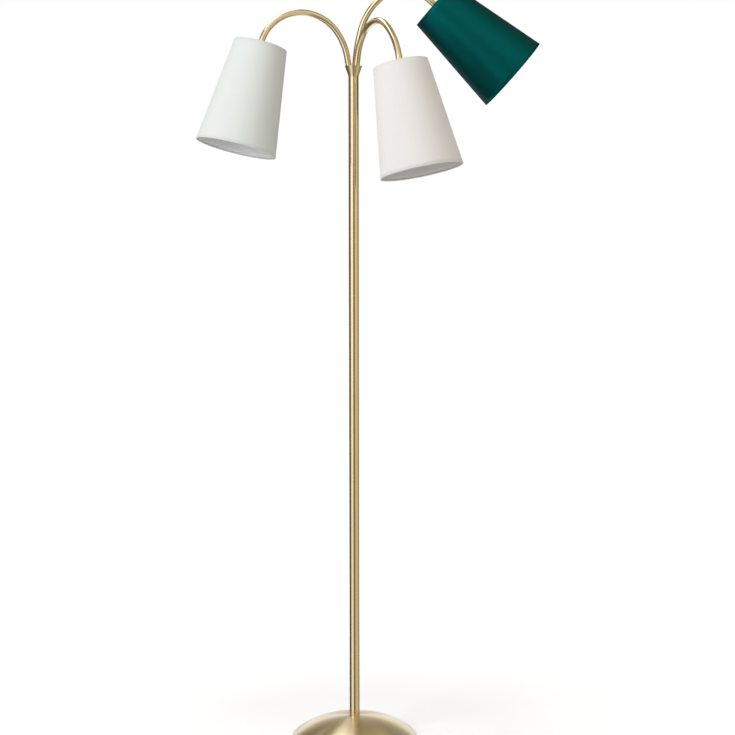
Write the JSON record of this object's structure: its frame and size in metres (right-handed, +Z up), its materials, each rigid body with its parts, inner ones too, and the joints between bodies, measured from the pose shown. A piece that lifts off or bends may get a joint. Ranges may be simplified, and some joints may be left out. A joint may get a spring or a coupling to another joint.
{
  "type": "tree floor lamp",
  "caption": "Tree floor lamp: weighted dome base and slim pole carrying bendable gooseneck arms, each with a tapered fabric shade over a small globe bulb.",
  "frame": {"origin": "centre of the base's underside, where the pole's axis meets the floor", "axes": "+Z up along the pole, +X to the right seen from the front, +Y to the back, where the cord enters the base"},
  "size_m": [0.6569, 0.3739, 1.4628],
  "materials": {
    "satin_brass": "satin",
    "plain_brass": "satin",
    "cast_weight": "matte",
    "zinc_steel": "satin",
    "felt": "matte",
    "inlet_rubber": "matte",
    "terminal_plastic": "matte",
    "holder_plastic": "satin",
    "contact_ceramic": "satin",
    "white_wire": "gloss",
    "bulb_metal": "satin",
    "frosted_glass": "satin",
    "mint_fabric": "matte",
    "blush_fabric": "matte",
    "teal_fabric": "satin"
  },
  "bodies": {
    "stand": {"base_felt": "felt", "base_cover": "satin_brass", "base_weight": "cast_weight", "cord_inlet": "inlet_rubber", "terminal_block": "terminal_plastic", "foot_stud": "zinc_steel", "foot_washer": "zinc_steel", "foot_nut": "zinc_steel", "foot_bush": "zinc_steel", "lower_pole": "satin_brass", "pole_coupler": "zinc_steel", "upper_pole": "satin_brass", "top_bush": "zinc_steel", "arm_cup": "satin_brass", "arm_hub": "satin_brass", "hub_screw": "zinc_steel"},
    "left_stem": {"left_ferrule": "satin_brass"},
    "left_arch": {"left_gooseneck": "satin_brass"},
    "left_head": {"left_nipple": "satin_brass", "left_holder_cap": "satin_brass", "left_lampholder": "holder_plastic", "left_contact_block": "contact_ceramic", "left_screw_shell": "plain_brass", "left_shade_carrier": "white_wire", "left_ring_nut": "holder_plastic", "left_shade": "mint_fabric", "left_bottom_hoop": "white_wire", "left_bulb_cap": "bulb_metal", "left_bulb": "frosted_glass"},
    "middle_stem": {"middle_ferrule": "satin_brass"},
    "middle_arch": {"middle_gooseneck": "satin_brass"},
    "middle_head": {"middle_nipple": "satin_brass", "middle_holder_cap": "satin_brass", "middle_lampholder": "holder_plastic", "middle_contact_block": "contact_ceramic", "middle_screw_shell": "plain_brass", "middle_shade_carrier": "white_wire", "middle_ring_nut": "holder_plastic", "middle_shade": "blush_fabric", "middle_bottom_hoop": "white_wire", "middle_bulb_cap": "bulb_metal", "middle_bulb": "frosted_glass"},
    "right_stem": {"right_ferrule": "satin_brass"},
    "right_arch": {"right_gooseneck": "satin_brass"},
    "right_head": {"right_nipple": "satin_brass", "right_holder_cap": "satin_brass", "right_lampholder": "holder_plastic", "right_contact_block": "contact_ceramic", "right_screw_shell": "plain_brass", "right_shade_carrier": "white_wire", "right_ring_nut": "holder_plastic", "right_shade": "teal_fabric", "right_bottom_hoop": "white_wire", "right_bulb_cap": "bulb_metal", "right_bulb": "frosted_glass"}
  },
  "joints": [
    {"name": "left_swing", "type": "hinge", "parent": "stand", "child": "left_stem", "pos_m": [-0.00817, -0.00144, 1.305], "axis": [-0.2048, -0.0361, 0.9781], "range_deg": [-25, 25]},
    {"name": "left_bow", "type": "hinge", "parent": "left_stem", "child": "left_arch", "pos_m": [-0.03107, -0.00802, 1.37212], "axis": [0.2924, -0.9563, 0], "range_deg": [-25, 20], "deforming": ["left_gooseneck"]},
    {"name": "left_tilt", "type": "hinge", "parent": "left_arch", "child": "left_head", "pos_m": [-0.15129, -0.04478, 1.38521], "axis": [-0.2924, 0.9563, 0], "range_deg": [-20, 60], "deforming": ["left_gooseneck"]},
    {"name": "middle_swing", "type": "hinge", "parent": "stand", "child": "middle_stem", "pos_m": [0.00534, -0.00636, 1.305], "axis": [0.1336, -0.1593, 0.9781], "range_deg": [-25, 25]},
    {"name": "middle_bow", "type": "hinge", "parent": "middle_stem", "child": "middle_arch", "pos_m": [0.02049, -0.03443, 1.36733], "axis": [0.891, 0.454, 0], "range_deg": [-25, 20], "deforming": ["middle_gooseneck"]},
    {"name": "middle_tilt", "type": "hinge", "parent": "middle_arch", "child": "middle_head", "pos_m": [0.07646, -0.14429, 1.33868], "axis": [-0.891, -0.454, 0], "range_deg": [-20, 60], "deforming": ["middle_gooseneck"]},
    {"name": "right_swing", "type": "hinge", "parent": "stand", "child": "right_stem", "pos_m": [0.00284, 0.0078, 1.305], "axis": [0.0711, 0.1954, 0.9781], "range_deg": [-25, 25]},
    {"name": "right_bow", "type": "hinge", "parent": "right_stem", "child": "right_arch", "pos_m": [0.01308, 0.01511, 1.37556], "axis": [0.225, 0.9744, 0], "range_deg": [-25, 20], "deforming": ["right_gooseneck"]},
    {"name": "right_tilt", "type": "hinge", "parent": "right_arch", "child": "right_head", "pos_m": [0.11261, -0.00782, 1.45151], "axis": [-0.225, -0.9744, 0], "range_deg": [-45, 30], "deforming": ["right_gooseneck"]}
  ]
}
